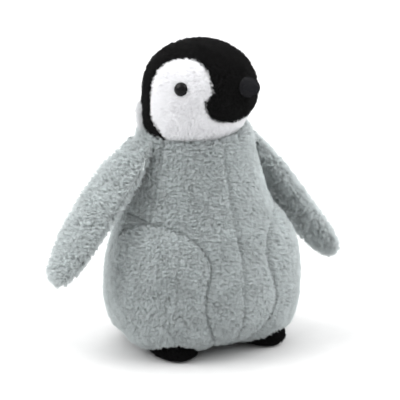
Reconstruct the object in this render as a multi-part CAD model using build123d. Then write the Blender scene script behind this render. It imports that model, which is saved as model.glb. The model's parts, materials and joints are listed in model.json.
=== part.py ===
from build123d import *
import math
import os

# A stuffed penguin chick, 250 mm tall, sitting on its base and two feet.
# Millimetres. It faces -Y, +X is its own left, and z = 0 is the surface it sits on.
# Every sewn panel is a separate shell, and the filling lies behind the panels.

# --- driving dimensions ---
FABRIC = 2.5  # backing cloth and the dense root of the pile
SEAM_GAP = 0.15  # between two panels along a seam, and between a panel and the filling
PACKED = FABRIC + SEAM_GAP  # how far the filling lies inside the outer form
SLIDE_GAP = 1.5  # between pieces that turn against each other

# Torso: height, middle in Y, half width in X, half depth in Y.
TORSO_SECTIONS = [
    (0, 10, 36, 36),
    (3, 10, 45, 45),
    (10, 8, 60, 60),
    (24, 2, 71, 71),
    (48, -2, 75.5, 75.5),
    (72, -2, 73, 73.5),
    (96, -1, 66, 67),
    (118, 0, 57.5, 59.5),
    (140, 2, 51.5, 54),
    (160, 4, 47, 50),
    (176, 5, 45.5, 47),
    (188, 4, 44, 45.5),
]
COLLAR_HEIGHT = 170.5  # of the collar's edge at y = 0
COLLAR_SLOPE = 0.055  # how fast the collar's edge falls towards the back
NECK_FLOOR = 166.5  # the torso's filling ends here, under the head
BASE_TOP = 5  # the flat base panel reaches this high

# Seams of the torso, in degrees round from the front.
SIDE_SEAM = 68
BACK_SEAM = 128
HAUNCH_SEAM_HEIGHT = 112

# Thighs, which bulge out of the torso: height, middle, half width round the torso, half depth.
THIGH_AZIMUTH = 59
THIGH_SECTIONS = [
    (4, -38, 26, 24),
    (9, -38, 35, 32),
    (20, -38, 45, 39),
    (40, -38, 53, 43.5),
    (60, -38, 54, 44),
    (80, -38, 51, 42),
    (97, -37.5, 42.5, 35.5),
    (108, -37, 31, 27),
    (114, -36.5, 17, 16),
]
THIGH_SEAM_AZIMUTH = 41

# Feet: height, half width, half length.
FOOT_SECTIONS = [
    (0, 15.5, 24),
    (4, 18, 26.5),
    (9, 18.5, 27),
    (14, 16.5, 24.5),
    (18, 12, 18),
    (20, 7, 11),
]
FOOT_X = 39
FOOT_Y = -29
SOLE = 2.5
FOOT_TOE_OUT = 8  # degrees that each foot points outwards

# Head, in its own frame with the origin at its middle, before it is turned.
HEAD_Y = -5
HEAD_Z = 209
HEAD_RADIUS = 46
HEAD_HALF_HEIGHT = 40
CROWN_POWER = 2.2  # 2 would make the crown an ellipsoid, and more makes it squarer
HEAD_TURN = 25  # towards the penguin's left

# Below its middle the head keeps its width at the back, as the nape, and narrows at the chin:
# height, middle, half width, half depth.
NECK_SECTIONS = [
    (-38, 6, 22, 19),
    (-36, 7, 33, 29),
    (-33, 7, 40, 35.5),
    (-30, 6.5, 42, 38),
    (-20, 4, 45, 42.5),
    (-9, 1, 46, 45.5),
]
CROWN_HEIGHTS = [0, 10, 20, 28, 34, 38, 39.6]  # where the crown is cut for the loft

# The white face seen from the side: Y (front is negative) and Z.
CHEEK_RIM = [
    (6, -42),
    (9.5, -27),
    (16.3, -18),
    (19.3, -9),
    (19, 2),
    (18, 14),
    (12, 26.5),
    (0, 32.5),
    (-14, 32.5),
    (-26, 25.5),
    (-32.5, 15),
    (-33, 7),
    (-29.5, 2),
]
CHEEK_SEAM = [(-29.5, 2), (-16, -5.5), (-3.2, -17), (1, -27), (3, -42)]  # cheek to chin
CHIN_RIM = [(-29.5, 2), (-31.5, -10), (-36, -18), (-42, -22), (-60, -23)]
NAPE_AZIMUTH = 136  # the nape panel begins this far round from the front
NAPE_TOP = -12

BEAK_Z = 9
BEAK_HALF_WIDTH = 9.5
BEAK_HALF_HEIGHT = 8.3
BEAK_LENGTH = 12  # from the middle of its base, on the face, to its tip
BEAK_MOUTH_DROP = 4.5  # the mouth lies this far under the beak's middle
LOWER_BEAK_SHARE = 0.86

EYE_AZIMUTH = 75
EYE_ELEVATION = 15
EYE_RADIUS = 5.6
EYE_PROUD = 3.2
EYE_STEM_RADIUS = 1.6
EYE_STEM_LENGTH = 13
WASHER_RADIUS = 7
WASHER_THICKNESS = 1.4
WASHER_DEPTH = 1.0  # behind the cloth

# Neck wad: a plug of filling under the head, which turns in a recess of the torso's filling.
NECK_RADIUS = 27
NECK_BOTTOM = 148
NECK_TOP = 165.5

# Flippers, along their length: distance from the hinge, middle, half width, half thickness.
FLIPPER_SECTIONS = [
    (-3, 1, 18.5, 3.8),
    (0, 1, 21, 4.9),
    (8, 1.5, 24.5, 6.8),
    (28, 3, 27, 8.8),
    (58, 4, 27, 9.2),
    (86, 3, 24.5, 8.8),
    (107, 1, 19.5, 7.4),
    (118, -0.5, 13, 5.6),
    (122, -1, 6.5, 3.5),
]
# Each side's hinge, its angle outwards from straight down, and its angle forwards.
SHOULDERS = {1: (54.5, 14, 154), -1: (-54, 6, 160)}
FLIPPER_ANGLES = {1: 33, -1: 37.5}
FLIPPER_SWEEPS = {1: 14, -1: 0}

# Pouch of plastic pellets that weights the seat.
POUCH_Y = 22
POUCH_RADIUS = 34
POUCH_BOTTOM = 6
POUCH_TOP = 34
POUCH_CLOTH = 1

FAR = 400
parts = {}


def around(azimuth, distance, height=0.0):
    """A point at that distance from the Z axis, that many degrees round from the front."""
    angle = math.radians(azimuth)
    return (distance * math.sin(angle), -distance * math.cos(angle), height)


def lofted(sections, inset=0.0):
    """A smooth solid through ellipses stacked along Z, pulled in all round by inset."""
    low, high = sections[0][0] + inset, sections[-1][0] - inset
    stack = []
    for height, middle, half_x, half_y in sections:
        at = min(max(height, low), high)
        if stack and at - stack[-1][0] < 0.8:
            continue
        stack.append((at, middle, half_x - inset, half_y - inset))
    faces = [Pos(0, middle, at) * Ellipse(x, y) for at, middle, x, y in stack]
    return loft(faces)


def crown_radius(height):
    """The head's radius that high above its middle."""
    share = (height / HEAD_HALF_HEIGHT) ** CROWN_POWER
    return HEAD_RADIUS * (1 - share) ** (1 / CROWN_POWER)


def ellipsoid(radius_x, radius_y, radius_z):
    return scale(Sphere(radius_x), by=(1, radius_y / radius_x, radius_z / radius_x))


def sector(start, end, low=-FAR, high=FAR):
    """A wedge about the Z axis between two azimuths, at most 150 degrees apart."""
    reach = [around(a, FAR) for a in (start, (start + end) / 2, end)]
    outline = Polyline((0, 0), *[(x, y) for x, y, _ in reach], close=True)
    return Pos(0, 0, low) * extrude(make_face(outline), high - low)


def slab(low, high):
    """Everything between two heights."""
    return Pos(0, 0, (low + high) / 2) * Box(FAR, FAR, high - low)


def side_of(sign):
    """The half space on the penguin's left, sign 1, or right, sign -1, less half a seam gap."""
    return Pos(sign * (FAR / 2 + SEAM_GAP / 2), 0, 0) * Box(FAR, FAR, 2 * FAR)


def largest(shape):
    """The biggest solid of a shape, without the crumbs that a cut leaves."""
    return max(shape.solids(), key=lambda solid: solid.volume)


# --- the head's place, which the collar and the neck wad need too ---
def place_head(shape):
    return Pos(0, HEAD_Y, HEAD_Z) * Rot(0, 0, HEAD_TURN) * shape


def head_form(inset=0.0):
    crown = []
    for height in CROWN_HEIGHTS:
        radius = crown_radius(height)
        crown.append((height, 0, radius, radius))
    return lofted(NECK_SECTIONS + crown, inset)


# --- torso ---
def collar_cut():
    """Everything above the collar's sloping edge."""
    tilt = -math.degrees(math.atan(COLLAR_SLOPE))
    return Pos(0, 0, COLLAR_HEIGHT) * Rot(tilt, 0, 0) * Pos(0, 0, FAR / 2) * Box(FAR, FAR, FAR)


def thigh_form(sign, inset=0.0):
    return Rot(0, 0, sign * THIGH_AZIMUTH) * lofted(THIGH_SECTIONS, inset)


def foot_form(sign, inset=0.0):
    sections = [(z, 0, x, y) for z, x, y in FOOT_SECTIONS]
    return Pos(sign * FOOT_X, FOOT_Y, 0) * Rot(0, 0, sign * FOOT_TOE_OUT) * lofted(sections, inset)


def pouch_form(inset=0.0):
    axes = (POUCH_RADIUS, POUCH_RADIUS, (POUCH_TOP - POUCH_BOTTOM) / 2)
    place = Pos(0, POUCH_Y, (POUCH_BOTTOM + POUCH_TOP) / 2)
    return place * ellipsoid(*[axis - inset for axis in axes])


def torso_parts():
    outer = lofted(TORSO_SECTIONS)
    inner = lofted(TORSO_SECTIONS, FABRIC)
    trim = [collar_cut(), foot_form(1, -SEAM_GAP), foot_form(-1, -SEAM_GAP)]
    skin = outer - inner
    for cutter in [*trim, thigh_form(1), thigh_form(-1)]:
        skin = skin - cutter

    parts["base_panel"] = largest(skin & slab(-1, BASE_TOP))
    wall = skin & slab(BASE_TOP + SEAM_GAP, FAR)
    upper = slab(HAUNCH_SEAM_HEIGHT + SEAM_GAP, FAR)
    lower = slab(-1, HAUNCH_SEAM_HEIGHT)
    for sign, side in ((1, "left"), (-1, "right")):
        gap = math.degrees(SEAM_GAP / 60)
        angles = [(gap, SIDE_SEAM), (SIDE_SEAM + gap, BACK_SEAM), (BACK_SEAM + gap, 180 - gap)]
        front, flank, back = [sector(sign * a, sign * b) for a, b in angles]
        parts[f"chest_panel_{side}"] = largest(wall & front)
        parts[f"side_panel_{side}"] = largest(wall & flank & upper)
        parts[f"haunch_panel_{side}"] = largest(wall & flank & lower)
        parts[f"back_panel_{side}"] = largest(wall & back)

    parts["pellet_pouch"] = pouch_form() - pouch_form(POUCH_CLOTH)
    parts["pellet_fill"] = pouch_form(POUCH_CLOTH + SEAM_GAP)

    recess = neck_plug(NECK_RADIUS + SLIDE_GAP, NECK_BOTTOM - SLIDE_GAP, FAR)
    filling = (lofted(TORSO_SECTIONS, PACKED) & slab(0, NECK_FLOOR)) - recess
    filling = filling - pouch_form(-SEAM_GAP)
    for cutter in trim:
        filling = filling - cutter
    parts["torso_filling"] = largest(filling)


# --- thighs and feet ---
def thigh_parts():
    torso = lofted(TORSO_SECTIONS)
    torso_inner = lofted(TORSO_SECTIONS, FABRIC)
    for sign, side in ((1, "left"), (-1, "right")):
        outer, inner = thigh_form(sign), thigh_form(sign, FABRIC)
        foot = foot_form(sign, -SEAM_GAP)
        cover = outer - inner - torso - foot
        gap = math.degrees(SEAM_GAP / 80)
        front = sector(sign * -20, sign * (THIGH_SEAM_AZIMUTH - gap))
        rear = sector(sign * THIGH_SEAM_AZIMUTH, sign * 120)
        parts[f"thigh_front_panel_{side}"] = largest(cover & front)
        parts[f"thigh_outer_panel_{side}"] = largest(cover & rear)
        packed = thigh_form(sign, PACKED)
        parts[f"thigh_filling_{side}"] = largest(packed - torso_inner - foot)


def foot_parts():
    for sign, side in ((1, "left"), (-1, "right")):
        outer, inner, packed = [foot_form(sign, inset) for inset in (0, FABRIC, PACKED)]
        above = slab(SOLE + SEAM_GAP, FAR)
        parts[f"foot_sole_{side}"] = largest(outer & slab(-1, SOLE))
        parts[f"foot_upper_{side}"] = largest((outer - inner) & above)
        parts[f"foot_filling_{side}"] = largest(packed & above)


# --- neck ---
def neck_plug(radius, low, high):
    return Pos(0, HEAD_Y, (low + high) / 2) * Cylinder(radius, high - low)


def neck_parts():
    plug = neck_plug(NECK_RADIUS, NECK_BOTTOM, NECK_TOP)
    parts["neck_filling"] = fillet(plug.edges(), 4)


# --- head ---
def side_prism(outline):
    """A face drawn in Y and Z, made into a bar along X through the whole head."""
    return extrude(Plane.YZ * outline, FAR / 2, both=True)


def cheek_region():
    """The white cheek, seen from the side."""
    base = Line(CHEEK_SEAM[-1], CHEEK_RIM[0])
    return side_prism(make_face([Spline(*CHEEK_RIM), Spline(*CHEEK_SEAM), base]))


def chin_region():
    """The white chin and throat, below the cheeks and round the front."""
    below = Polyline(CHIN_RIM[-1], (CHIN_RIM[-1][0], -48), CHEEK_SEAM[-1])
    return side_prism(make_face([Spline(*CHIN_RIM), Spline(*CHEEK_SEAM), *below.edges()]))


def eye_place(sign):
    """A plane on the head's surface at the eye, with its Z axis pointing outwards."""
    up = math.radians(EYE_ELEVATION)
    level_share, upright_share = math.cos(up) / HEAD_RADIUS, math.sin(up) / HEAD_HALF_HEIGHT
    stretch = (level_share**CROWN_POWER + upright_share**CROWN_POWER) ** (1 / CROWN_POWER)
    point = Vector(*around(sign * EYE_AZIMUTH, math.cos(up), math.sin(up))) / stretch
    level_slope = (level_share / stretch) ** (CROWN_POWER - 1) / HEAD_RADIUS
    upright_slope = (upright_share / stretch) ** (CROWN_POWER - 1) / HEAD_HALF_HEIGHT
    normal = Vector(*around(sign * EYE_AZIMUTH, level_slope, upright_slope))
    return Plane(origin=point, z_dir=normal)


def beak_form(length, half_width, half_height):
    """An egg with its long axis along Y, centred on the face."""
    return Pos(0, -HEAD_RADIUS + 2, BEAK_Z) * ellipsoid(half_width, length, half_height)


def head_parts():
    outer, inner = head_form(), head_form(FABRIC)
    skin = outer - inner
    stems, washers, washer_rooms = [], [], []
    for sign, side in ((1, "left"), (-1, "right")):
        at = eye_place(sign)
        sphere_radius = (EYE_RADIUS**2 + EYE_PROUD**2) / (2 * EYE_PROUD)
        dome = Pos(0, 0, EYE_PROUD - sphere_radius) * Sphere(sphere_radius)
        dome = dome & (Pos(0, 0, EYE_PROUD) * Cylinder(EYE_RADIUS, 2 * EYE_PROUD))
        stem = Pos(0, 0, -EYE_STEM_LENGTH / 2) * Cylinder(EYE_STEM_RADIUS, EYE_STEM_LENGTH)
        room = Pos(0, 0, -EYE_STEM_LENGTH / 2) * Cylinder(EYE_STEM_RADIUS + 0.1, EYE_STEM_LENGTH + 1)
        depth = -FABRIC - WASHER_DEPTH - WASHER_THICKNESS / 2
        disc = Pos(0, 0, depth) * Cylinder(WASHER_RADIUS, WASHER_THICKNESS)
        washer_room = Pos(0, 0, depth) * Cylinder(WASHER_RADIUS + 0.2, WASHER_THICKNESS + 0.4)
        seat = Pos(0, 0, EYE_PROUD / 2) * Cylinder(EYE_RADIUS + 0.1, EYE_PROUD)
        parts[f"eye_{side}"] = place_head(at.location * (dome + stem))
        parts[f"eye_washer_{side}"] = place_head(at.location * (disc - room))
        stems += [at.location * room, at.location * seat]
        washer_rooms.append(at.location * washer_room)

    cheeks, chin = cheek_region(), chin_region()
    for cutter in stems:
        skin = skin - cutter
    white = skin & cheeks
    throat = (skin - cheeks) & chin
    dark = skin - cheeks - chin
    nape_zone = sector(NAPE_AZIMUTH, 180, high=NAPE_TOP) + sector(-NAPE_AZIMUTH, -180, high=NAPE_TOP)
    nape = dark & nape_zone
    hood = dark - nape_zone
    parts["chin_panel"] = place_head(largest(throat))
    parts["nape_panel"] = place_head(largest(nape))
    for sign, side in ((1, "left"), (-1, "right")):
        parts[f"cheek_panel_{side}"] = place_head(largest(white & side_of(sign)))
        parts[f"hood_panel_{side}"] = place_head(largest(hood & side_of(sign)))

    face = head_form(-SEAM_GAP)
    upper = beak_form(BEAK_LENGTH, BEAK_HALF_WIDTH, BEAK_HALF_HEIGHT)
    lower = beak_form(
        BEAK_LENGTH * LOWER_BEAK_SHARE, BEAK_HALF_WIDTH * LOWER_BEAK_SHARE, BEAK_HALF_HEIGHT
    )
    mouth = BEAK_Z - BEAK_MOUTH_DROP
    parts["beak_upper"] = place_head(largest((upper - face) & slab(mouth + SEAM_GAP, FAR)))
    parts["beak_lower"] = place_head(largest((lower - face) & slab(-FAR, mouth)))

    filling = head_form(PACKED)
    for cutter in stems + washer_rooms:
        filling = filling - cutter
    parts["head_filling"] = place_head(largest(filling))


# --- flippers ---
def hang(flipper, sign):
    """Places a flipper, drawn along Z with its width along Y, at its shoulder."""
    outwards = Rot(0, sign * (180 - FLIPPER_ANGLES[sign]), 0)
    forwards = Rot(-FLIPPER_SWEEPS[sign], 0, 0)
    return Pos(*SHOULDERS[sign]) * forwards * outwards * flipper


def flipper_parts():
    sections = [(s, middle, thick, wide) for s, middle, wide, thick in FLIPPER_SECTIONS]
    outer, inner, packed = [lofted(sections, inset) for inset in (0, FABRIC, PACKED)]
    cover = outer - inner
    for sign, side in ((1, "left"), (-1, "right")):
        facing_out = Pos(-sign * (FAR / 2 + SEAM_GAP / 2), 0, 0) * Box(FAR, FAR, FAR)
        facing_in = Pos(sign * (FAR / 2 + SEAM_GAP / 2), 0, 0) * Box(FAR, FAR, FAR)
        parts[f"flipper_outer_panel_{side}"] = hang(largest(cover & facing_out), sign)
        parts[f"flipper_inner_panel_{side}"] = hang(largest(cover & facing_in), sign)
        parts[f"flipper_filling_{side}"] = hang(packed, sign)


def main():
    torso_parts()
    thigh_parts()
    foot_parts()
    neck_parts()
    head_parts()
    flipper_parts()
    os.makedirs("parts", exist_ok=True)
    for name, shape in parts.items():
        export_step(shape, f"parts/{name}.step")


main()
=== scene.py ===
import json
import math
import random

import bmesh
import bpy
import numpy as np
from mathutils import Matrix, Vector, noise
from mathutils.bvhtree import BVHTree
from mathutils.kdtree import KDTree

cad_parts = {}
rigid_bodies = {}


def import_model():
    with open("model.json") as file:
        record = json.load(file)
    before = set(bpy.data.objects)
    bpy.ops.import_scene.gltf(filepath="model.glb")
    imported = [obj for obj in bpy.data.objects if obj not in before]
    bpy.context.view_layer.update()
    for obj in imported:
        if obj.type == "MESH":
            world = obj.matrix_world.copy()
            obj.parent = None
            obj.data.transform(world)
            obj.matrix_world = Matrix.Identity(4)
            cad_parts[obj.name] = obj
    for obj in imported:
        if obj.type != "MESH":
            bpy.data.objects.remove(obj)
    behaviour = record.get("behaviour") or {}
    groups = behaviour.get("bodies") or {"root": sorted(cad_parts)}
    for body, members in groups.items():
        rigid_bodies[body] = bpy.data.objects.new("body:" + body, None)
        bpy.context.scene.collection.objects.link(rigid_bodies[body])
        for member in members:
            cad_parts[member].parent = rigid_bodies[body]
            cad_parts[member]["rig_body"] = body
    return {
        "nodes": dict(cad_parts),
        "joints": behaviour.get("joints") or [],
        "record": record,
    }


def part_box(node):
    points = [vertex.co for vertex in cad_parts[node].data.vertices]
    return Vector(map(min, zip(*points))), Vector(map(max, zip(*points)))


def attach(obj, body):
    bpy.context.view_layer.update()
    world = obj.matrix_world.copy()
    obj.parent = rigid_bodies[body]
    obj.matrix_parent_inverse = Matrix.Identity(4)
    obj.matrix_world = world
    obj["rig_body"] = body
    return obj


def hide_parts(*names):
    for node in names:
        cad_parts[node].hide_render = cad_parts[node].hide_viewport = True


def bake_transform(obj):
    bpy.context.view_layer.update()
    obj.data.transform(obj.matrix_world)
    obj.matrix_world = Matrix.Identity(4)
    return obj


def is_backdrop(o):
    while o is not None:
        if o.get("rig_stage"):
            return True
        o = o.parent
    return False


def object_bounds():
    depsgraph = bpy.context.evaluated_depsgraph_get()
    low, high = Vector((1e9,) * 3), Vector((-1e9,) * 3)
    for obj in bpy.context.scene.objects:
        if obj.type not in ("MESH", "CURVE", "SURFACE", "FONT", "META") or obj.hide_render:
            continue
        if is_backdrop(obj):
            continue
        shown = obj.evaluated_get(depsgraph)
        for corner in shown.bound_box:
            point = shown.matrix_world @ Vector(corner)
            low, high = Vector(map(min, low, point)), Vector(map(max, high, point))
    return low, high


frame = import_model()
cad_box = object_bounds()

# The plush penguin's looks. Metres, in the CAD's frame: the penguin faces -Y and +X is its own left.
# Each sewn cover starts as one closed form. Air pressure in a cloth simulation pushes it out, with its seams
# held. It is then cut along the seams into its panels, and each panel grows its own pile.
MM = 0.001
SEED = 11
noise.seed_set(SEED)  # the noise is the same in each run
nodes = frame["nodes"]
joints = {joint["name"]: joint for joint in frame["joints"]}

# --- places that come from the frame ---
head_middle = Vector(joints["head_nod"]["pos_m"])
head_left = Vector(joints["head_nod"]["axis"]).normalized()
head_back = Vector((0, 0, 1)).cross(head_left)
up = Vector((0, 0, 1))


def middle_of(node):
    low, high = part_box(node)
    return (low + high) / 2


def coordinates(mesh):
    points = np.empty(len(mesh.vertices) * 3, np.float32)
    mesh.vertices.foreach_get("co", points)
    return points.reshape(-1, 3).astype(float)


def set_coordinates(mesh, points):
    mesh.vertices.foreach_set("co", points.astype(np.float32).ravel())
    mesh.update()


def vertex_normals(mesh):
    normals = np.empty(len(mesh.vertices) * 3, np.float32)
    mesh.vertex_normals.foreach_get("vector", normals)
    return normals.reshape(-1, 3).astype(float)


def quads_of(mesh):
    corners = np.empty(len(mesh.loops), np.int32)
    mesh.loops.foreach_get("vertex_index", corners)
    return corners.reshape(-1, 4)


def unit(vectors):
    return vectors / np.maximum(np.linalg.norm(vectors, axis=1, keepdims=True), 1e-12)


def new_object(name, mesh):
    obj = bpy.data.objects.new(name, mesh)
    bpy.context.scene.collection.objects.link(obj)
    return obj


def mesh_of(name, points, faces):
    mesh = bpy.data.meshes.new(name)
    mesh.from_pydata([tuple(p) for p in points], [], [tuple(f) for f in faces])
    mesh.update()
    return mesh


def smooth_shaded(mesh):
    mesh.polygons.foreach_set("use_smooth", [True] * len(mesh.polygons))
    return mesh


def apply_modifiers(obj):
    graph = bpy.context.evaluated_depsgraph_get()
    mesh = bpy.data.meshes.new_from_object(obj.evaluated_get(graph), depsgraph=graph)
    obj.modifiers.clear()
    obj.data = mesh


def discard(obj):
    bpy.data.objects.remove(obj)


# --- materials ---
def linear(*channels):
    """An sRGB colour from 0 to 255, as the linear colour that a shader takes."""
    shares = [c / 255 for c in channels]
    return tuple(s / 12.92 if s <= 0.04045 else ((s + 0.055) / 1.055) ** 2.4 for s in shares) + (1,)


def scaled(colour, by):
    return tuple(min(1.0, c * by) for c in colour[:3]) + (1,)


def new_material(name):
    material = bpy.data.materials.new(name)
    material.use_nodes = True
    tree = material.node_tree
    return material, tree, tree.nodes["Principled BSDF"]


def add_node(tree, kind, **values):
    node = tree.nodes.new(kind)
    for key, value in values.items():
        setattr(node, key, value)
    return node


def noise_factor(tree, scale, detail=3.0, roughness=0.6):
    """Noise in the object's own space, from 0 to 1; scale is in features per metre."""
    place = add_node(tree, "ShaderNodeTexCoord")
    texture = add_node(tree, "ShaderNodeTexNoise")
    texture.inputs["Scale"].default_value = scale
    texture.inputs["Detail"].default_value = detail
    texture.inputs["Roughness"].default_value = roughness
    tree.links.new(place.outputs["Object"], texture.inputs["Vector"])
    return texture.outputs["Fac"]


def ramp(tree, factor, stops):
    node = add_node(tree, "ShaderNodeValToRGB")
    elements = node.color_ramp.elements
    while len(elements) < len(stops):
        elements.new(0.5)
    for element, (position, colour) in zip(elements, stops):
        element.position = position
        element.color = colour
    tree.links.new(factor, node.inputs["Fac"])
    return node.outputs["Color"]


def multiply(tree, colour, other):
    node = add_node(tree, "ShaderNodeMix", data_type="RGBA", blend_type="MULTIPLY")
    node.inputs["Factor"].default_value = 1
    tree.links.new(colour, node.inputs["A"])
    tree.links.new(other, node.inputs["B"])
    return node.outputs["Result"]


def bump(tree, shader, height, strength, distance):
    node = add_node(tree, "ShaderNodeBump")
    node.inputs["Strength"].default_value = strength
    node.inputs["Distance"].default_value = distance
    tree.links.new(height, node.inputs["Height"])
    tree.links.new(node.outputs["Normal"], shader.inputs["Normal"])


PATCHES, ROOTS, KNIT = 90, 900, 1400  # features per metre: faded patches, roots of strands, knitted ground


def plush_skin(name, colour, sheen=0.35):
    """The knitted ground of the plush with the roots of its pile."""
    material, tree, shader = new_material(name)
    stops = [(0.3, scaled(colour, 0.8)), (0.7, scaled(colour, 1.06))]
    broad = ramp(tree, noise_factor(tree, PATCHES), stops)
    fine = ramp(tree, noise_factor(tree, ROOTS), [(0.3, (0.78, 0.78, 0.78, 1)), (0.65, (1, 1, 1, 1))])
    tree.links.new(multiply(tree, broad, fine), shader.inputs["Base Color"])
    shader.inputs["Roughness"].default_value = 0.92
    shader.inputs["Specular IOR Level"].default_value = 0.15
    shader.inputs["Sheen Weight"].default_value = sheen
    shader.inputs["Sheen Roughness"].default_value = 0.5
    bump(tree, shader, noise_factor(tree, KNIT), 0.5, 0.4 * MM)
    return material


def pile_strands(name, colour, glow=0.3, spread=0.16, mottle=0.1, root_shade=0.7, sheen=0.0):
    """The strands of the pile, each strand slightly different, with painted shade that darkens each strand
    towards its root for the shade deep in the pile.

    glow is the share of light that passes through a strand, spread the difference between strands, and
    mottle the difference between patches; root_shade is how dark the painted shade at a strand's root is.
    """
    material, tree, shader = new_material(name)
    stops = [(0.3, scaled(colour, 1 - mottle)), (0.7, scaled(colour, 1 + mottle / 2))]
    broad = ramp(tree, noise_factor(tree, PATCHES), stops)
    hair = add_node(tree, "ShaderNodeHairInfo")
    low = (1 - spread,) * 3 + (1,)
    each = ramp(tree, hair.outputs["Random"], [(0, low), (1, (1, 1, 1, 1))])
    # painted shade: each strand darkens to root_shade at its root, standing in for the shade among the
    # crowded roots of the pile
    root = ramp(tree, hair.outputs["Intercept"], [(0, (root_shade,) * 3 + (1,)), (0.6, (1, 1, 1, 1))])
    tone = multiply(tree, multiply(tree, broad, each), root)
    tree.links.new(tone, shader.inputs["Base Color"])
    shader.inputs["Roughness"].default_value = 0.75
    shader.inputs["Specular IOR Level"].default_value = 0.2
    shader.inputs["Sheen Weight"].default_value = sheen
    shader.inputs["Sheen Roughness"].default_value = 0.4
    through = add_node(tree, "ShaderNodeBsdfTranslucent")
    tree.links.new(tone, through.inputs["Color"])
    both = add_node(tree, "ShaderNodeMixShader")
    both.inputs["Fac"].default_value = glow
    tree.links.new(shader.outputs["BSDF"], both.inputs[1])
    tree.links.new(through.outputs["BSDF"], both.inputs[2])
    tree.links.new(both.outputs["Shader"], tree.nodes["Material Output"].inputs["Surface"])
    return material


GREY = linear(229, 234, 234)
BLACK = linear(7, 6, 7)
WHITE = linear(253, 253, 254)
NAPE = linear(238, 239, 240)
FOOT = linear(13, 12, 13)
VELOUR = linear(30, 30, 36)
looks = {
    "grey_plush": (plush_skin("grey_skin", GREY), pile_strands("grey_strands", GREY, glow=0.4)),
    "black_plush": (
        plush_skin("black_skin", BLACK, sheen=0.1),
        pile_strands("black_strands", BLACK, glow=0.02, sheen=0.09),
    ),
    "white_plush": (
        plush_skin("white_skin", WHITE),
        pile_strands(
            "white_strands", WHITE, glow=0.5, spread=0.02, mottle=0.02, root_shade=0.97, sheen=0.5
        ),
    ),
    "nape_plush": (
        plush_skin("nape_skin", NAPE),
        pile_strands("nape_strands", NAPE, spread=0.1, mottle=0.06),
    ),
    "foot_plush": (
        plush_skin("foot_skin", FOOT, sheen=0.05),
        pile_strands("foot_strands", FOOT, glow=0.05),
    ),
    "beak_velour": (
        plush_skin("beak_skin", VELOUR, sheen=0.5),
        pile_strands("beak_strands", VELOUR, glow=0.05, sheen=0.25),
    ),
}


# --- covers ---
def joined(name, members):
    """One mesh of several CAD nodes' meshes."""
    points, faces, base = [], [], 0
    for node in members:
        mesh = nodes[node].data
        mesh.calc_loop_triangles()
        corners = np.empty(len(mesh.loop_triangles) * 3, np.int32)
        mesh.loop_triangles.foreach_get("vertices", corners)
        points.append(coordinates(mesh))
        faces.append(corners.reshape(-1, 3) + base)
        base += len(mesh.vertices)
    points, faces = np.vstack(points), np.vstack(faces)
    mesh = bpy.data.meshes.new(name)
    mesh.vertices.add(len(points))
    mesh.vertices.foreach_set("co", points.astype(np.float32).ravel())
    mesh.loops.add(len(faces) * 3)
    mesh.loops.foreach_set("vertex_index", faces.astype(np.int32).ravel())
    mesh.polygons.add(len(faces))
    mesh.polygons.foreach_set("loop_start", np.arange(0, len(faces) * 3, 3, dtype=np.int32))
    mesh.update(calc_edges=True)
    return mesh


def keep_largest(mesh):
    """Removes every part of the mesh but the biggest connected one."""
    form = bmesh.new()
    form.from_mesh(mesh)
    seen, islands = set(), []
    for start in form.verts:
        if start in seen:
            continue
        seen.add(start)
        stack, island = [start], []
        while stack:
            vertex = stack.pop()
            island.append(vertex)
            for edge in vertex.link_edges:
                other = edge.other_vert(vertex)
                if other not in seen:
                    seen.add(other)
                    stack.append(other)
        islands.append(island)
    islands.sort(key=len, reverse=True)
    for island in islands[1:]:
        bmesh.ops.delete(form, geom=island, context="VERTS")
    form.to_mesh(mesh)
    form.free()


def closed_form(name, members, voxel, extra=(), whole=False):
    """A single closed skin round CAD nodes, with extra meshes to fill what they leave open."""
    obj = new_object(name, joined(name, members))
    if extra:
        form = bmesh.new()
        form.from_mesh(obj.data)
        for mesh in extra:
            form.from_mesh(mesh)
        form.to_mesh(obj.data)
        form.free()
    remesh = obj.modifiers.new("remesh", "REMESH")
    remesh.mode = "VOXEL"
    remesh.voxel_size = voxel
    apply_modifiers(obj)
    if not whole:
        keep_largest(obj.data)
    soften = obj.modifiers.new("soften", "SMOOTH")
    soften.factor = 0.5
    soften.iterations = 2
    apply_modifiers(obj)
    return obj


class Panels:
    """Tells which sewn panel is nearest to a point."""

    def __init__(self, names):
        self.names = names
        points, faces, self.owner = [], [], []
        for index, node in enumerate(names):
            mesh = nodes[node].data
            base = len(points)
            points += [tuple(p) for p in coordinates(mesh)]
            for face in mesh.polygons:
                faces.append([base + v for v in face.vertices])
                self.owner.append(index)
        self.tree = BVHTree.FromPolygons(points, faces)

    def nearest(self, points):
        return np.array([self.owner[self.tree.find_nearest(p)[2]] for p in points])


def seam_points(points, quads, label, strength=None):
    """The middles of the edges where two panels meet, and how strongly each seam shows."""
    owner, middles, strengths = {}, [], []
    for face, quad in enumerate(quads):
        for i in range(4):
            a, b = quad[i], quad[(i + 1) % 4]
            key = (a, b) if a < b else (b, a)
            other = owner.setdefault(key, face)
            if label[other] != label[face]:
                middles.append((points[a] + points[b]) / 2)
                strengths.append(strength(label[other], label[face]) if strength else 1.0)
    return np.array(middles), np.array(strengths)


def nearest_of(points, targets):
    """The index of the target that is nearest to each point."""
    tree = KDTree(len(targets))
    for i, target in enumerate(targets):
        tree.insert(target, i)
    tree.balance()
    return np.array([tree.find(p)[1] for p in points])


CLOTH_MASS, CLOTH_PRESSURE, CLOTH_QUALITY, CLOTH_FRAMES = 0.002, 4, 4, 16


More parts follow.
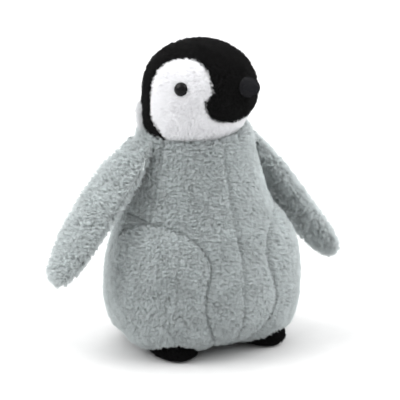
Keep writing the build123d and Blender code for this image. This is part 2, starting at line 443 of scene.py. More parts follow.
def inflate(obj, held, cap):
    """Cloth simulation: air pressure pushes the skin out between its held seams, by at most cap."""
    start = coordinates(obj.data)
    group = obj.vertex_groups.new(name="held")
    group.add([int(i) for i in np.nonzero(held)[0]], 1.0, "REPLACE")
    cloth = obj.modifiers.new("cloth", "CLOTH")
    cloth.settings.quality = CLOTH_QUALITY
    cloth.settings.mass = CLOTH_MASS
    cloth.settings.use_pressure = True
    cloth.settings.uniform_pressure_force = CLOTH_PRESSURE
    cloth.settings.vertex_group_mass = "held"
    cloth.settings.effector_weights.gravity = 0
    cloth.point_cache.frame_start = 1
    cloth.point_cache.frame_end = CLOTH_FRAMES
    for frame_number in range(1, CLOTH_FRAMES + 1):
        bpy.context.scene.frame_set(frame_number)
    graph = bpy.context.evaluated_depsgraph_get()
    swollen = coordinates(obj.evaluated_get(graph).data)
    obj.modifiers.clear()
    obj.vertex_groups.clear()
    bpy.context.scene.frame_set(1)
    move = swollen - start
    size = np.linalg.norm(move, axis=1, keepdims=True)
    move *= np.minimum(1, cap / np.maximum(size, 1e-9))
    set_coordinates(obj.data, start + move)
    print(f"{obj.name}: {len(start)} points, swelled {np.linalg.norm(move, axis=1).mean() / MM:.2f} mm")


def spread_out(values, quads, rounds):
    """Averages a value per vertex with its neighbours, to make it change gently."""
    for _ in range(rounds):
        total, count = np.zeros(len(values)), np.zeros(len(values))
        face_mean = values[quads].mean(1)
        for i in range(4):
            np.add.at(total, quads[:, i], face_mean)
            np.add.at(count, quads[:, i], 1)
        values = total / np.maximum(count, 1)
    return values


HELD_BAND = 0.9  # of a voxel, on each side of a seam
BLEND_ROUNDS = 4


def sewn_cover(name, panels, stuffing, voxel, inset, swell, levels, extra=()):
    """A closed cover under its pile, set back from the CAD surface by each panel's inset and by swell.
    """
    obj = closed_form(name, panels + stuffing, voxel, extra)
    nearest = Panels(panels)
    points, quads = coordinates(obj.data), quads_of(obj.data)
    label = nearest.nearest(points[quads].mean(1))
    seams, _ = seam_points(points, quads, label)
    held = np.linalg.norm(points - seams[nearest_of(points, seams)], axis=1) < HELD_BAND * voxel
    depth = np.zeros(len(points))
    for corner in range(4):
        depth[quads[:, corner]] = [inset(panels[i]) for i in label]
    depth = spread_out(depth, quads, BLEND_ROUNDS)
    set_coordinates(obj.data, points - vertex_normals(obj.data) * (depth + swell)[:, None])
    inflate(obj, held, swell)
    # Each point keeps its place on the CAD surface, which tells its panel.
    outer = obj.data.attributes.new("outer", "FLOAT_VECTOR", "POINT")
    outer.data.foreach_set("vector", points.astype(np.float32).ravel())
    divide = obj.modifiers.new("divide", "SUBSURF")
    divide.levels = divide.render_levels = levels
    apply_modifiers(obj)
    return obj, nearest


LUMP_STIR, LUMP_STIR_FINENESS = 0.9, 0.6


def lumps(points, size, height):
    """Clumps of curly pile as relief: rounded cells of about that size, pushed about by noise."""
    out = np.empty(len(points))
    for i, p in enumerate(points):
        place = Vector(p) / size
        place += LUMP_STIR * noise.noise_vector(place * LUMP_STIR_FINENESS)
        near = noise.voronoi(place, distance_metric="DISTANCE_SQUARED")[0]
        out[i] = near[1] - near[0]
    return height * (np.minimum(out, 0.5) * 2 - 0.5)


CURL_FINENESS, CURL_SHARE = 4.0, 0.5


def face_middles(mesh):
    middles = np.empty(len(mesh.polygons) * 3, np.float32)
    mesh.polygons.foreach_get("center", middles)
    return middles.reshape(-1, 3).astype(float)


def lay_of(mesh, flow, swirl, swirl_size):
    """The way that the pile lies on each face: a broad flow, stirred by curls."""
    middles = face_middles(mesh)
    way = unit(np.array([flow(Vector(p)) for p in middles]))
    places = [Vector(p) / swirl_size for p in middles]
    brushed = np.array([noise.noise_vector(place) for place in places])
    curled = np.array([noise.noise_vector(place * CURL_FINENESS) for place in places])
    return way + swirl * (brushed + CURL_SHARE * curled)


def comb(mesh, way):
    """Lays the pile: a UV map whose V axis runs the way that the pile lies on each face."""
    points, corners = coordinates(mesh), np.empty(len(mesh.loops), np.int32)
    mesh.loops.foreach_get("vertex_index", corners)
    count = len(mesh.polygons)
    normals = np.empty(count * 3, np.float32)
    mesh.polygons.foreach_get("normal", normals)
    normals = normals.reshape(-1, 3).astype(float)
    along = unit(way - normals * (way * normals).sum(1, keepdims=True))
    across = np.cross(along, normals)
    per_corner = np.repeat(np.arange(count), 4)
    place = points[corners]
    uv = np.empty((len(corners), 2), np.float32)
    uv[:, 0] = (place * across[per_corner]).sum(1)
    uv[:, 1] = (place * along[per_corner]).sum(1)
    layer = mesh.uv_layers.new(name="comb")
    layer.data.foreach_set("uv", uv.ravel())


def weight_group(obj, name, weights, steps=20):
    group = obj.vertex_groups.new(name=name)
    level = np.round(np.clip(weights, 0, 1) * steps).astype(int)
    for step in range(steps + 1):
        members = np.nonzero(level == step)[0]
        if len(members):
            group.add([int(i) for i in members], step / steps, "REPLACE")


class Pile:
    """How one plush's pile grows. length and curl are in metres, tufts per square metre, thick in mm.

    lean is the share of the length along the skin, wild the random share, and clump how far the strands of
    a tuft draw together.
    """

    def __init__(self, length, lean, tufts, strands, clump, curl, wild, thick):
        self.length, self.lean, self.tufts, self.strands = length, lean, tufts, strands
        self.clump, self.curl, self.wild, self.thick = clump, curl, wild, thick


# length, lean, tufts, strands, clump, curl, wild, thick
PILES = {
    "grey_plush": Pile(4.8 * MM, 0.5, 900_000, 9, 0.2, 0.1 * MM, 0.42, 0.13),
    "flipper_plush": Pile(5 * MM, 0.5, 800_000, 10, 0.28, 0.12 * MM, 0.48, 0.13),
    "white_plush": Pile(3.2 * MM, 0.5, 560_000, 14, 0.1, 0.15 * MM, 0.3, 0.12),
    "nape_plush": Pile(6 * MM, 0.4, 450_000, 12, 0.15, 0.15 * MM, 0.35, 0.13),
    "black_plush": Pile(2.6 * MM, 0.5, 450_000, 16, 0.3, 0.15 * MM, 0.4, 0.13),
    "foot_plush": Pile(2.4 * MM, 0.5, 450_000, 16, 0.3, 0.15 * MM, 0.4, 0.13),
    "beak_velour": Pile(0.8 * MM, 0.6, 1_500_000, 16, 0.2, 0.0, 0.3, 0.09),
}

HAIR_REACH = 4  # a hair's length over its starting speed, in Blender
ROUGHNESS, ROUGHNESS_SIZE = 0.25, 3 * MM  # of a whole tuft; roughness is a share of the pile's length
FINE_ROUGHNESS, FINE_ROUGHNESS_SIZE = 0.12, 1 * MM  # of single strands
TIP_SHARE = 0.25  # how thick a strand's tip is, next to its root


def grow(piece, pile, seed):
    """The pile itself, as strands that grow from the panel, longest where the weights say."""
    piece.modifiers.new("pile", "PARTICLE_SYSTEM")
    system = piece.particle_systems[-1]
    system.seed = seed
    system.vertex_group_length = "pile_length"
    system.vertex_group_density = "pile_density"
    hair = system.settings
    hair.type = "HAIR"
    hair.use_advanced_hair = True
    hair.emit_from = "FACE"
    hair.distribution = "RAND"
    area = sum(face.area for face in piece.data.polygons)
    hair.count = max(20, int(area * pile.tufts))
    hair.hair_step = 4
    hair.render_step = 3
    hair.display_step = 2
    speed = pile.length / HAIR_REACH
    hair.normal_factor = speed * math.sqrt(1 - pile.lean**2)
    hair.tangent_factor = speed * pile.lean
    hair.tangent_phase = 1.0
    hair.factor_random = speed * pile.wild
    hair.child_type = "INTERPOLATED"
    hair.child_percent = 0
    hair.rendered_child_count = pile.strands
    hair.clump_factor = pile.clump
    hair.clump_shape = 0.1
    hair.child_length = 1.0
    hair.roughness_1 = ROUGHNESS * pile.length
    hair.roughness_1_size = ROUGHNESS_SIZE
    hair.roughness_2 = FINE_ROUGHNESS * pile.length
    hair.roughness_2_size = FINE_ROUGHNESS_SIZE
    hair.roughness_endpoint = FINE_ROUGHNESS * pile.length
    hair.roughness_end_shape = 1.0
    if pile.curl:
        hair.kink = "CURL"
        hair.kink_amplitude = pile.curl
        hair.kink_amplitude_random = 0.6
        hair.kink_frequency = 2.0
        hair.kink_shape = 0.4
    hair.radius_scale = MM
    hair.root_radius = pile.thick
    hair.tip_radius = pile.thick * TIP_SHARE
    hair.material_slot = piece.material_slots[1].material.name


def dress(piece, kind, way, lengths, density, seed, pile=None):
    """Gives a piece its plush: the ground's and the strands' materials, the lay, and the pile."""
    for material in looks[kind]:
        piece.data.materials.append(material)
    comb(piece.data, way)
    weight_group(piece, "pile_length", lengths)
    weight_group(piece, "pile_density", density)
    grow(piece, PILES[pile or kind], seed)


def slot_of(node):
    """The record's material slot of a CAD node."""
    return next(part["material_slot"] for part in frame["record"]["subparts"] if part["node"] == node)


def even_seams(node, other):
    return 1.0


class Seams:
    """How a cover's seams look: how deep and wide the dent is, and how the pile shortens and parts there."""

    def __init__(
        self, depth, width, trim, trim_width, part, part_width, fade_height=0.0, strength=even_seams
    ):
        self.depth, self.width, self.trim, self.trim_width = depth, width, trim, trim_width
        self.part, self.part_width = part, part_width
        self.fade_height, self.strength = fade_height, strength


def closeness(distance, width):
    """1 at a seam, and falling to 0 away from it."""
    return np.exp(-((distance / width) ** 2))


class Lay:
    """The way that a cover's pile lies, how much it swirls, and the relief that its clumps make."""

    def __init__(self, flow, swirl, swirl_size, lump_size, lump_height):
        self.flow, self.swirl, self.swirl_size = flow, swirl, swirl_size
        self.lump_size, self.lump_height = lump_size, lump_height


HEM = 2.5 * MM
FLOOR_GAP = 0.3 * MM
HEM_LENGTH = 0.3  # of the pile, at the edge that is turned in
FADED_SEAM = 0.3  # of a seam's strength, at the floor
LUMPS_FROM_SEAM = 1.2  # of the seam's width
BARE = 0.03  # of the pile's length: below it, nothing grows


def panel_mesh(name, chosen, points, normals):
    """One panel's faces with their hem turned in. Gives the mesh, the points used and those on the rim."""
    used, flat = np.unique(chosen, return_inverse=True)
    faces = flat.reshape(-1, 4)
    edges = {}
    for quad in faces:
        for i in range(4):
            edges[(quad[i], quad[(i + 1) % 4])] = True
    rim = [(a, b) for a, b in edges if (b, a) not in edges]
    rim_points = sorted({a for edge in rim for a in edge})
    below = {a: len(used) + i for i, a in enumerate(rim_points)}
    inner = points[used][rim_points] - normals[used][rim_points] * HEM
    inner[:, 2] = np.maximum(inner[:, 2], FLOOR_GAP)
    hem = [(b, a, below[a], below[b]) for a, b in rim]
    mesh = mesh_of(name, np.vstack([points[used], inner]), [*faces.tolist(), *hem])
    return smooth_shaded(mesh), used, rim_points


def cut_panels(cover, nearest, lay, seams, length_at, pile=None):
    """Cuts a cover along its seams into one piece for each panel, with a turned-in hem and its own pile."""
    mesh = cover.data
    points, quads, normals = coordinates(mesh), quads_of(mesh), vertex_normals(mesh)
    outer = np.empty(len(points) * 3, np.float32)
    mesh.attributes["outer"].data.foreach_get("vector", outer)
    outer = outer.reshape(-1, 3).astype(float)
    label = nearest.nearest(outer[quads].mean(1))
    names = nearest.names
    middles, strengths = seam_points(points, quads, label, lambda i, j: seams.strength(names[i], names[j]))
    near = nearest_of(points, middles)
    from_seam, strong = points - middles[near], strengths[near]
    if seams.fade_height:
        strong = strong * np.clip(points[:, 2] / seams.fade_height, FADED_SEAM, 1)
    distance = np.linalg.norm(from_seam, axis=1)
    fade = 1 - closeness(distance, LUMPS_FROM_SEAM * seams.width)
    dent = -seams.depth * strong * closeness(distance, seams.width)
    relief = dent + fade * lumps(points, lay.lump_size, lay.lump_height)
    moved = points + normals * relief[:, None]
    moved[:, 2] = np.maximum(moved[:, 2], FLOOR_GAP)
    made = []
    for index, node in enumerate(names):
        chosen = quads[label == index]
        if not len(chosen):
            raise SystemExit(f"no face of the cover lies on {node}")
        name = node.replace("_panel", "").replace("foot_", "foot_cover_")
        piece_mesh, used, rim = panel_mesh(name, chosen, moved, normals)
        piece = new_object("plush_" + name, piece_mesh)
        trim = seams.trim * np.minimum(strong[used], 1) * closeness(distance[used], seams.trim_width)
        length = (1 - trim) * np.array([length_at(Vector(p), node) for p in moved[used]])
        none = np.zeros(len(rim))
        lengths = np.concatenate([length, none + HEM_LENGTH])
        density = np.concatenate([np.where(length > BARE, 1.0, 0.0), none])
        seam_way = unit(np.vstack([from_seam[used], from_seam[used][rim]]))
        parting = strong[used] * closeness(distance[used], seams.part_width)
        parting = np.concatenate([parting, parting[rim]])
        away = (seam_way * parting[:, None])[quads_of(piece_mesh)].mean(1)
        way = lay_of(piece_mesh, lay.flow, lay.swirl, lay.swirl_size) + seams.part * away
        dress(piece, slot_of(node), way, lengths, density, SEED + index, pile)
        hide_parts(node)
        made.append(piece)
    discard(cover)
    return made


# --- torso and thighs ---
TORSO_BODY = "torso"
SIDES = ("left", "right")


def torso_panels():
    pairs = ["chest", "side", "haunch", "back", "thigh_front", "thigh_outer"]
    return ["base_panel"] + [f"{name}_panel_{side}" for name in pairs for side in SIDES]


PLUG_RADIUS, PLUG_TAPER, PLUG_BACK, PLUG_UNDER = 46 * MM, 3 * MM, 4 * MM, 5 * MM


def neck_plug(top):
    """Fills the open top of the torso, under the head, up to the collar's edge."""
    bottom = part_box("neck_filling")[0].z - PLUG_UNDER
    form = bmesh.new()
    bmesh.ops.create_cone(
        form, cap_ends=True, segments=64, radius1=PLUG_RADIUS, radius2=PLUG_RADIUS - PLUG_TAPER,
        depth=top - bottom, matrix=Matrix.Translation((0, PLUG_BACK, (top + bottom) / 2)),
    )
    mesh = bpy.data.meshes.new("plug")
    form.to_mesh(mesh)
    form.free()
    return mesh


HIDDEN_SEAM, PLAIN_SEAM, THIGH_SEAM = 0.15, 0.7, 1.2


def torso_seams(node, other):
    """How strongly the seam between two panels of the torso shows."""
    kinds = {node.split("_panel")[0], other.split("_panel")[0]}
    if kinds == {"thigh_front", "thigh_outer"}:
        return HIDDEN_SEAM
    if any(kind.startswith("thigh") for kind in kinds):
        return THIGH_SEAM
    return PLAIN_SEAM


COLLAR_BAND, COLLAR_INSIDE, COLLAR_FADE = 14 * MM, 32 * MM, 8 * MM
COLLAR_LIFT, COLLAR_SIDE_LIFT = 3 * MM, 8 * MM
COLLAR_ROUNDING = 0.05


def raise_collar(mesh, top):
    """Lifts the collar's edge against the head, most at the sides, where the flippers are sewn in."""
    points = coordinates(mesh)
    out = np.hypot(points[:, 0], points[:, 1])
    band = np.clip((points[:, 2] - top + COLLAR_BAND) / COLLAR_BAND, 0, 1) ** 2
    band *= np.clip((out - COLLAR_INSIDE) / COLLAR_FADE, 0, 1)
    points[:, 2] += band * (COLLAR_LIFT + COLLAR_SIDE_LIFT * (points[:, 0] / out) ** 2)
    points[:, :2] *= (1 - COLLAR_ROUNDING * band)[:, None]
    set_coordinates(mesh, points)


TORSO_INSET, TORSO_SWELL, TORSO_VOXEL = 1.0 * MM, 1.5 * MM, 3.2 * MM
TORSO_SPREAD = 0.25 / (70 * MM)  # how fast the lay turns outwards, away from the middle
SHORT_PILE, LONG_PILE, FULL_PILE = 0.2, 0.75, 1.0  # under the base, on the torso and at the collar
FLOOR_PILE, FLOOR_RISE = 0.3, 40 * MM  # the pile at the floor, and the height in which it grows by 1
COLLAR_PILE_BAND, COLLAR_PILE_FADE = 12 * MM, 8 * MM  # the band under the edge where the pile grows longer
TORSO_STUFFING = [
    "torso_filling", "thigh_filling_left", "thigh_filling_right", "pellet_pouch", "pellet_fill",
]


def make_torso():
    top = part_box("chest_panel_left")[1].z

    def flow(p):
        return (TORSO_SPREAD * p.x, TORSO_SPREAD * p.y, -1)

    def length_at(p, node):
        if node == "base_panel":
            return SHORT_PILE
        near_floor = min(LONG_PILE, FLOOR_PILE + max(0, p.z) / FLOOR_RISE)
        near_collar = min(1, max(0, p.z - top + COLLAR_PILE_BAND) / COLLAR_PILE_FADE)
        return near_floor + (FULL_PILE - LONG_PILE) * near_collar

    cover, nearest = sewn_cover(
        "torso_cover", torso_panels(), TORSO_STUFFING, TORSO_VOXEL, lambda node: TORSO_INSET, TORSO_SWELL,
        levels=2, extra=[neck_plug(top)],
    )
    raise_collar(cover.data, top)
    lay = Lay(flow, swirl=2.0, swirl_size=14 * MM, lump_size=2.6 * MM, lump_height=0.6 * MM)
    seams = Seams(
        depth=3.4 * MM, width=1.35 * MM, trim=0.95, trim_width=1.4 * MM, part=4.0, part_width=2.6 * MM,
        fade_height=55 * MM, strength=torso_seams,
    )
    for piece in cut_panels(cover, nearest, lay, seams, length_at):
        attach(piece, TORSO_BODY)


# --- head ---
def head_seams(node, other):
    """The cheeks' pile hides the seam to the chin."""
    return HIDDEN_SEAM if {node.split("_")[0], other.split("_")[0]} == {"cheek", "chin"} else 1.0


HEAD_INSETS = {"hood": 0.8 * MM, "cheek": 1.0 * MM, "chin": 1.4 * MM, "nape": -1.0 * MM}
HEAD_SWELL, HEAD_VOXEL = 1.0 * MM, 2.6 * MM
HEAD_LAY_DOWN, HEAD_LAY_BACK = 0.5, 0.3
EYE_BARE, EYE_FADE = 2 * MM, 4 * MM  # round an eye's front: no pile, then growing longer
BEAK_BARE, BEAK_FADE, BEAK_PILE = 6 * MM, 10 * MM, 0.35  # round the beak the pile is never shorter than that


def eye_front(eye):
    """The middle of an eye's outermost 2 mm."""
    points = coordinates(eye.data)
    outwards = np.linalg.norm(points - np.array(head_middle), axis=1)
    return Vector(points[outwards > outwards.max() - 2 * MM].mean(0))


def make_head():
    beak = middle_of("beak_upper")
    eyes = [eye_front(nodes[f"eye_{side}"]) for side in SIDES]

    def flow(p):
        away = p - beak
        return away.normalized() - HEAD_LAY_DOWN * up + HEAD_LAY_BACK * head_back

    def length_at(p, node):
        share = min(max(0.0, ((p - eye).length - EYE_BARE) / EYE_FADE) for eye in eyes)
        return min(1.0, share) * min(1.0, max(BEAK_PILE, ((p - beak).length - BEAK_BARE) / BEAK_FADE))

    panels = [f"{name}_panel_{side}" for name in ("hood", "cheek") for side in SIDES]
    panels += ["chin_panel", "nape_panel"]
    stuffing = ["head_filling", "eye_washer_left", "eye_washer_right"]
    cover, nearest = sewn_cover(
        "head_cover", panels, stuffing, HEAD_VOXEL, lambda node: HEAD_INSETS[node.split("_")[0]], HEAD_SWELL,
        levels=2,
    )
    lay = Lay(flow, swirl=0.25, swirl_size=16 * MM, lump_size=2.4 * MM, lump_height=0.08 * MM)
    seams = Seams(
        depth=0.8 * MM, width=2 * MM, trim=0.15, trim_width=3 * MM, part=0.6, part_width=2 * MM,
        strength=head_seams,
    )
    for piece in cut_panels(cover, nearest, lay, seams, length_at):
        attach(piece, "head")


# --- flippers ---
FLIPPER_INSET, FLIPPER_SWELL, FLIPPER_VOXEL = 2.5 * MM, 0.5 * MM, 2.8 * MM
ROOT_LENGTH, ROOT_FROM, ROOT_BEFORE = 16 * MM, 14 * MM, 3 * MM
ROOT_TAPER, ROOT_BEND = 0.25, 1.3
BEND_FROM, BEND_TO = -6 * MM, 22 * MM  # along the flipper from its hinge


def reach_to_collar(mesh, hinge, down):
    """Draws the flipper's root out along its own line, up to the collar that it is sewn into."""
    points, down = coordinates(mesh), np.array(down)
    offset = points - np.array(hinge)
    along = offset @ down
    share = np.clip((ROOT_FROM - along) / (ROOT_FROM + ROOT_BEFORE), 0, None)
    line = np.array(hinge) + np.outer(along, down)
    narrowed = line + (points - line) * (1 - ROOT_TAPER * np.minimum(share, 1))[:, None]
    set_coordinates(mesh, narrowed - np.outer(share**ROOT_BEND * ROOT_LENGTH, down))


def flipper_line(side):
    """A flipper's hinge, and the way from there to its tip."""
    hinge = Vector(joints[f"flipper_{side}_flap"]["pos_m"])
    return hinge, (middle_of(f"flipper_filling_{side}") - hinge).normalized()


def blend_flipper(piece, side):
    """Bakes the piece's transform into its mesh; the ends of the root's bend are worked out but not used, so
    nothing bends or swings.
    """
    hinge, down = flipper_line(side)
    start, end = hinge + down * BEND_FROM, hinge + down * BEND_TO
    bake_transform(piece)
    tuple(start)
    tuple(end)


def make_flippers():
    for side in SIDES:
        hinge, down = flipper_line(side)
        panels = [f"flipper_{face}_panel_{side}" for face in ("outer", "inner")]
        cover, nearest = sewn_cover(
            f"flipper_{side}_cover", panels, [f"flipper_filling_{side}"], FLIPPER_VOXEL,
            lambda node: FLIPPER_INSET, FLIPPER_SWELL, levels=2,
        )
        reach_to_collar(cover.data, hinge, down)
        lay = Lay(lambda p: down, swirl=2.0, swirl_size=10 * MM, lump_size=2.6 * MM, lump_height=0.6 * MM)
        seams = Seams(
            depth=0.5 * MM, width=3 * MM, trim=0.1, trim_width=3 * MM, part=0.6, part_width=2 * MM
        )
        pieces = cut_panels(cover, nearest, lay, seams, lambda p, node: 1.0, pile="flipper_plush")
        for piece in pieces:
            blend_flipper(piece, side)


# --- feet ---
FOOT_INSET, FOOT_SWELL, FOOT_VOXEL = 0.8 * MM, 0.4 * MM, 2.0 * MM
SOLE_PILE = 0.25


def make_feet():
    def length_at(p, node):
        return SOLE_PILE if node.startswith("foot_sole") else 1.0

    for side in SIDES:
        panels = [f"foot_upper_{side}", f"foot_sole_{side}"]
        cover, nearest = sewn_cover(
            f"foot_{side}_cover", panels, [f"foot_filling_{side}"], FOOT_VOXEL,
            lambda node: FOOT_INSET, FOOT_SWELL, levels=1,
        )
        forwards = (0, -1, -0.4)
        lay = Lay(lambda p: forwards, swirl=0.4, swirl_size=10 * MM, lump_size=3 * MM, lump_height=0.3 * MM)
        seams = Seams(
            depth=0.5 * MM, width=2 * MM, trim=0.2, trim_width=2 * MM, part=0.6, part_width=2 * MM
        )
        for piece in cut_panels(cover, nearest, lay, seams, length_at):
            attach(piece, TORSO_BODY)


# --- beak ---
BEAK_VOXEL, BEAK_INSET = 0.7 * MM, 0.3 * MM
BEAK_SEED = SEED + 40


def make_beak():
    """Two lobes of velour, the lower one tucked under the upper one along the mouth."""
    for index, node in enumerate(("beak_upper", "beak_lower")):
        lobe = closed_form("plush_" + node, [node], BEAK_VOXEL)
        points = coordinates(lobe.data)
        set_coordinates(lobe.data, points - vertex_normals(lobe.data) * BEAK_INSET)
        smooth_shaded(lobe.data)
        full = np.ones(len(points))
        way = lay_of(lobe.data, lambda p: p - head_middle, swirl=0.2, swirl_size=5 * MM)
        dress(lobe, "beak_velour", way, full, full, BEAK_SEED + index)
        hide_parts(node)
        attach(lobe, "head")


# --- inside ---
WAD_SHARES = {"thigh": 0.8, "flipper": 0.84}  # these thin wads are drawn in towards their middles
WAD_CLEARANCE = {"torso": 4.6, "thigh": 0.3, "head": 1.8, "neck": 0.8, "flipper": 3.4, "foot": 0.5}  # mm
WAD_VOXEL, WAD_LUMP = 2.4 * MM, 9 * MM


def wadding_look():
    material, tree, shader = new_material("fibrefill")
    stops = [(0.3, linear(222, 222, 218)), (0.7, linear(247, 247, 245))]
    tree.links.new(ramp(tree, noise_factor(tree, 260, 6), stops), shader.inputs["Base Color"])
    shader.inputs["Roughness"].default_value = 1
    shader.inputs["Sheen Weight"].default_value = 0.4
    bump(tree, shader, noise_factor(tree, 900, 6), 0.8, 0.8 * MM)
    return material


def make_wadding():
    """The filling of each form, as lumpy wadding that stays clear of the ground of its cover."""
    look = wadding_look()
    for node in [name for name in nodes if "_filling" in name]:
        part = node.split("_")[0]
        wad = closed_form(node.replace("filling", "wadding"), [node], WAD_VOXEL, whole=True)
        points = coordinates(wad.data)
        points = points.mean(0) + (points - points.mean(0)) * WAD_SHARES.get(part, 1.0)
        uneven = np.array([MM * (0.5 + noise.noise(Vector(p) / WAD_LUMP)) for p in points])
        inwards = WAD_CLEARANCE[part] * MM + uneven
        set_coordinates(wad.data, points - vertex_normals(wad.data) * inwards[:, None])
        side = node.rsplit("_", 1)[1]
        if part == "flipper":
            reach_to_collar(wad.data, *flipper_line(side))
        smooth_shaded(wad.data).materials.append(look)
        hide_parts(node)
        if part == "flipper":
            blend_flipper(wad, side)
        else:
            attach(wad, nodes[node]["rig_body"])


THREADS = 700


def pouch_look():
    material, tree, shader = new_material("pouch_cloth")
    place = add_node(tree, "ShaderNodeTexCoord")
    weave = []
    for direction in ("X", "Z"):
        wave = add_node(tree, "ShaderNodeTexWave", bands_direction=direction)
        wave.inputs["Scale"].default_value = THREADS
        tree.links.new(place.outputs["Object"], wave.inputs["Vector"])
        weave.append(wave)
    thread = multiply(tree, weave[0].outputs["Color"], weave[1].outputs["Color"])
    stops = [(0.0, linear(206, 204, 196)), (1.0, linear(240, 238, 230))]
    tree.links.new(ramp(tree, thread, stops), shader.inputs["Base Color"])
    shader.inputs["Roughness"].default_value = 0.9
    bump(tree, shader, thread, 0.4, 0.3 * MM)
    return material


POUCH_SHARE = 0.985  # of the CAD pouch's size
PUCKER_DEPTH, PUCKER_WIDTH = 0.012, 0.25  # as shares of the radius, and in radians from the rim


def make_pouch(rings=48, segments=120, puckers=26):
    """Two rounds of cloth sewn together at the rim, slightly puckered by the stitches."""
    low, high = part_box("pellet_pouch")
    middle, radii = (low + high) / 2, (high - low) / 2
    points = []
    for ring in range(rings + 1):
        tilt = math.pi * (ring / rings - 0.5)
        rim = math.exp(-((tilt / PUCKER_WIDTH) ** 2))
        for segment in range(segments):
            turn = 2 * math.pi * segment / segments
            stitch = POUCH_SHARE + PUCKER_DEPTH * rim * math.cos(puckers * turn)
            across = math.cos(tilt) * stitch
            out = Vector((across * math.cos(turn), across * math.sin(turn), math.sin(tilt) * POUCH_SHARE))
            points.append(middle + Vector([out[i] * radii[i] for i in range(3)]))
    faces = []
    for ring in range(rings):
        for segment in range(segments):
            a, b = ring * segments + segment, ring * segments + (segment + 1) % segments
            faces.append((a, b, b + segments, a + segments))
    pouch = new_object("pouch", smooth_shaded(mesh_of("pouch", points, faces)))
    weld = bmesh.new()
    weld.from_mesh(pouch.data)
    bmesh.ops.remove_doubles(weld, verts=weld.verts, dist=0.01 * MM)
    weld.to_mesh(pouch.data)
    weld.free()
    pouch.data.materials.append(pouch_look())
    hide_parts("pellet_pouch")
    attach(pouch, TORSO_BODY)


def plastic_look(name, light, dark, roughness):
    material, tree, shader = new_material(name)
    tone = ramp(tree, noise_factor(tree, 500, 5), [(0.35, dark), (0.65, light)])
    tree.links.new(tone, shader.inputs["Base Color"])
    grey = [(0.3, (roughness * 0.7,) * 3 + (1,)), (0.7, (roughness * 1.3,) * 3 + (1,))]
    tree.links.new(ramp(tree, noise_factor(tree, 1500), grey), shader.inputs["Roughness"])
    return material, shader


PELLET_SPACING, PELLET_RADIUS, PELLET_JITTER = 4.4 * MM, 2.0 * MM, 0.3 * MM
PELLET_FILL, PELLET_EDGE = 0.93, 0.94  # how much of the pouch's inside the pellets take


def pellet_places(radii, rng):
    """Rows of pellets, every second layer shifted by half a pellet, each pushed a little off its place."""
    counts = [int(2 * r / PELLET_SPACING) + 1 for r in radii]
    for i in range(counts[0]):
        for j in range(counts[1]):
            for k in range(counts[2]):
                shift = (k % 2) / 2
                offset = [(n + shift * (axis < 2)) * PELLET_SPACING for axis, n in enumerate((i, j, k))]
                jitter = [rng.uniform(-1, 1) * PELLET_JITTER for _ in range(3)]
                place = Vector(offset) - Vector(radii) + Vector(jitter)
                if sum((place[axis] / radii[axis]) ** 2 for axis in range(3)) <= PELLET_EDGE:
                    yield place


def make_pellets():
    """Plastic pellets, packed in the pouch."""
    low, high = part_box("pellet_fill")
    middle, radii = (low + high) / 2, (high - low) / 2 * PELLET_FILL
    form = bmesh.new()
    bmesh.ops.create_icosphere(form, subdivisions=2, radius=PELLET_RADIUS)
    bead = np.array([vertex.co[:] for vertex in form.verts])
    bead_faces = np.array([[vertex.index for vertex in face.verts] for face in form.faces])
    form.free()
    rng = random.Random(SEED)
    points, faces = [], []
    for place in pellet_places(radii, rng):
        stretch = Matrix.Rotation(rng.uniform(0, math.pi), 3, "X") @ Matrix.Diagonal((0.95, 0.95, 0.8))
        faces.append(bead_faces + len(points) * len(bead))
        points.append(bead @ np.array(stretch).T + np.array(middle + place))
    mesh = mesh_of("pellets", np.vstack(points), np.vstack(faces))
    pellets = new_object("pellets", smooth_shaded(mesh))
    look, _ = plastic_look("pellet_plastic", linear(238, 238, 232), linear(214, 214, 206), 0.35)
    pellets.data.materials.append(look)
    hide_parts("pellet_fill")
    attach(pellets, TORSO_BODY)


def polish_plastic():
    """The eyes and their washers keep their CAD shapes."""
    black, shader = plastic_look("eye_gloss", linear(16, 15, 16), linear(9, 9, 10), 0.22)
    shader.inputs["Specular IOR Level"].default_value = 0.13
    clear, _ = plastic_look("washer_plastic", linear(235, 235, 230), linear(218, 218, 212), 0.4)
    for side in SIDES:
        for node, look in ((f"eye_{side}", black), (f"eye_washer_{side}", clear)):
            for part in nodes[node].material_slots:
                part.material = look


# --- camera, light and floor ---
AZIMUTH, ELEVATION = -30, 17
PICTURE, DISTANCE = 0.32, 6.0  # the width of the view at the toy, and how far away the camera is
TARGET_RIGHT, TARGET_UP, TARGET_BACK = 2.4 * MM, 110.4 * MM, 35 * MM


def view_axes():
    """The picture's right and up, and the way from the toy back to the camera."""
    a, e = math.radians(AZIMUTH), math.radians(ELEVATION)
    back = Vector((math.sin(a) * math.cos(e), -math.cos(a) * math.cos(e), math.sin(e)))
    right = Vector((math.cos(a), math.sin(a), 0))
    return right, back.cross(right), back


def make_camera():
    right, upwards, back = view_axes()
    data = bpy.data.cameras.new("camera")
    data.sensor_width = 36
    data.lens = data.sensor_width * DISTANCE / PICTURE
    camera = bpy.data.objects.new("camera", data)
    bpy.context.scene.collection.objects.link(camera)
    camera.location = right * TARGET_RIGHT + upwards * TARGET_UP + back * (TARGET_BACK + DISTANCE)
    camera.rotation_euler = back.to_track_quat("Z", "Y").to_euler()
    bpy.context.scene.camera = camera


# How far to the right, towards the camera and up each light stands, and its strength.
BOXES = {"left_box": (-0.9, 0.1, 0.8, 2.3), "right_box": (0.9, 0.1, 0.9, 1.8), "back_box": (0, -0.7, 1, 0.9)}
SOFTNESS = 50  # degrees of sky that each light fills
BRIGHTEST = 1.7  # of the studio's white walls, behind and above the toy


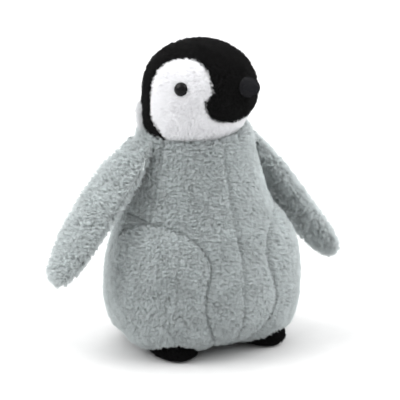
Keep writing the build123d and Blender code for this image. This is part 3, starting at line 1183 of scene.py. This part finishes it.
def add_sun(name, direction, strength):
    data = bpy.data.lights.new(name, "SUN")
    data.energy = strength
    data.angle = math.radians(SOFTNESS)
    sun = bpy.data.objects.new(name, data)
    bpy.context.scene.collection.objects.link(sun)
    sun.rotation_euler = direction.to_track_quat("Z", "Y").to_euler()


def make_light():
    right, _, back = view_axes()
    for name, (rightwards, forwards, upwards, strength) in BOXES.items():
        add_sun(name, rightwards * right + forwards * back + upwards * up, strength)
    world = bpy.data.worlds.new("studio")
    bpy.context.scene.world = world
    world.use_nodes = True
    tree = world.node_tree
    seen = tree.nodes["Background"]
    seen.inputs["Color"].default_value = (1, 1, 1, 1)
    lit = tree.nodes.new("ShaderNodeBackground")
    lit.inputs["Strength"].default_value = BRIGHTEST
    place = tree.nodes.new("ShaderNodeTexCoord")
    towards = tree.nodes.new("ShaderNodeVectorMath")
    towards.operation = "DOT_PRODUCT"
    towards.inputs[1].default_value = (0.8 * up - 0.6 * back).normalized() * 0.5
    tree.links.new(place.outputs["Generated"], towards.inputs[0])
    share = tree.nodes.new("ShaderNodeMath")
    share.inputs[1].default_value = 0.5
    tree.links.new(towards.outputs["Value"], share.inputs[0])
    stops = [(0.0, (0.34, 0.34, 0.34, 1)), (0.5, (0.46, 0.465, 0.47, 1)), (1.0, (1, 1, 1, 1))]
    tree.links.new(ramp(tree, share.outputs["Value"], stops), lit.inputs["Color"])
    path = tree.nodes.new("ShaderNodeLightPath")
    mix = tree.nodes.new("ShaderNodeMixShader")
    tree.links.new(path.outputs["Is Camera Ray"], mix.inputs["Fac"])
    tree.links.new(lit.outputs["Background"], mix.inputs[1])
    tree.links.new(seen.outputs["Background"], mix.inputs[2])
    tree.links.new(mix.outputs["Shader"], tree.nodes["World Output"].inputs["Surface"])
    bpy.context.scene.view_settings.view_transform = "Standard"


FLOOR_HALF = 6.0


def make_floor():
    corners = [(x * FLOOR_HALF, y * FLOOR_HALF, 0) for x, y in ((-1, -1), (1, -1), (1, 1), (-1, 1))]
    floor = new_object("floor", mesh_of("floor", corners, [(0, 1, 2, 3)]))
    material, tree, shader = new_material("floor")
    pale = ramp(tree, noise_factor(tree, 40), [(0.3, (0.57, 0.57, 0.57, 1)), (0.7, (0.59, 0.59, 0.59, 1))])
    tree.links.new(pale, shader.inputs["Base Color"])
    shader.inputs["Roughness"].default_value = 0.9
    floor.data.materials.append(material)
    floor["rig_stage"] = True


make_camera()
make_light()
make_floor()
make_torso()
make_head()
make_flippers()
make_feet()
make_beak()
make_wadding()
make_pouch()
make_pellets()
polish_plastic()

visual_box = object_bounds()
boxes = {"cad": cad_box, "visual": visual_box}
{key: [list(low), list(high)] for key, (low, high) in boxes.items()}
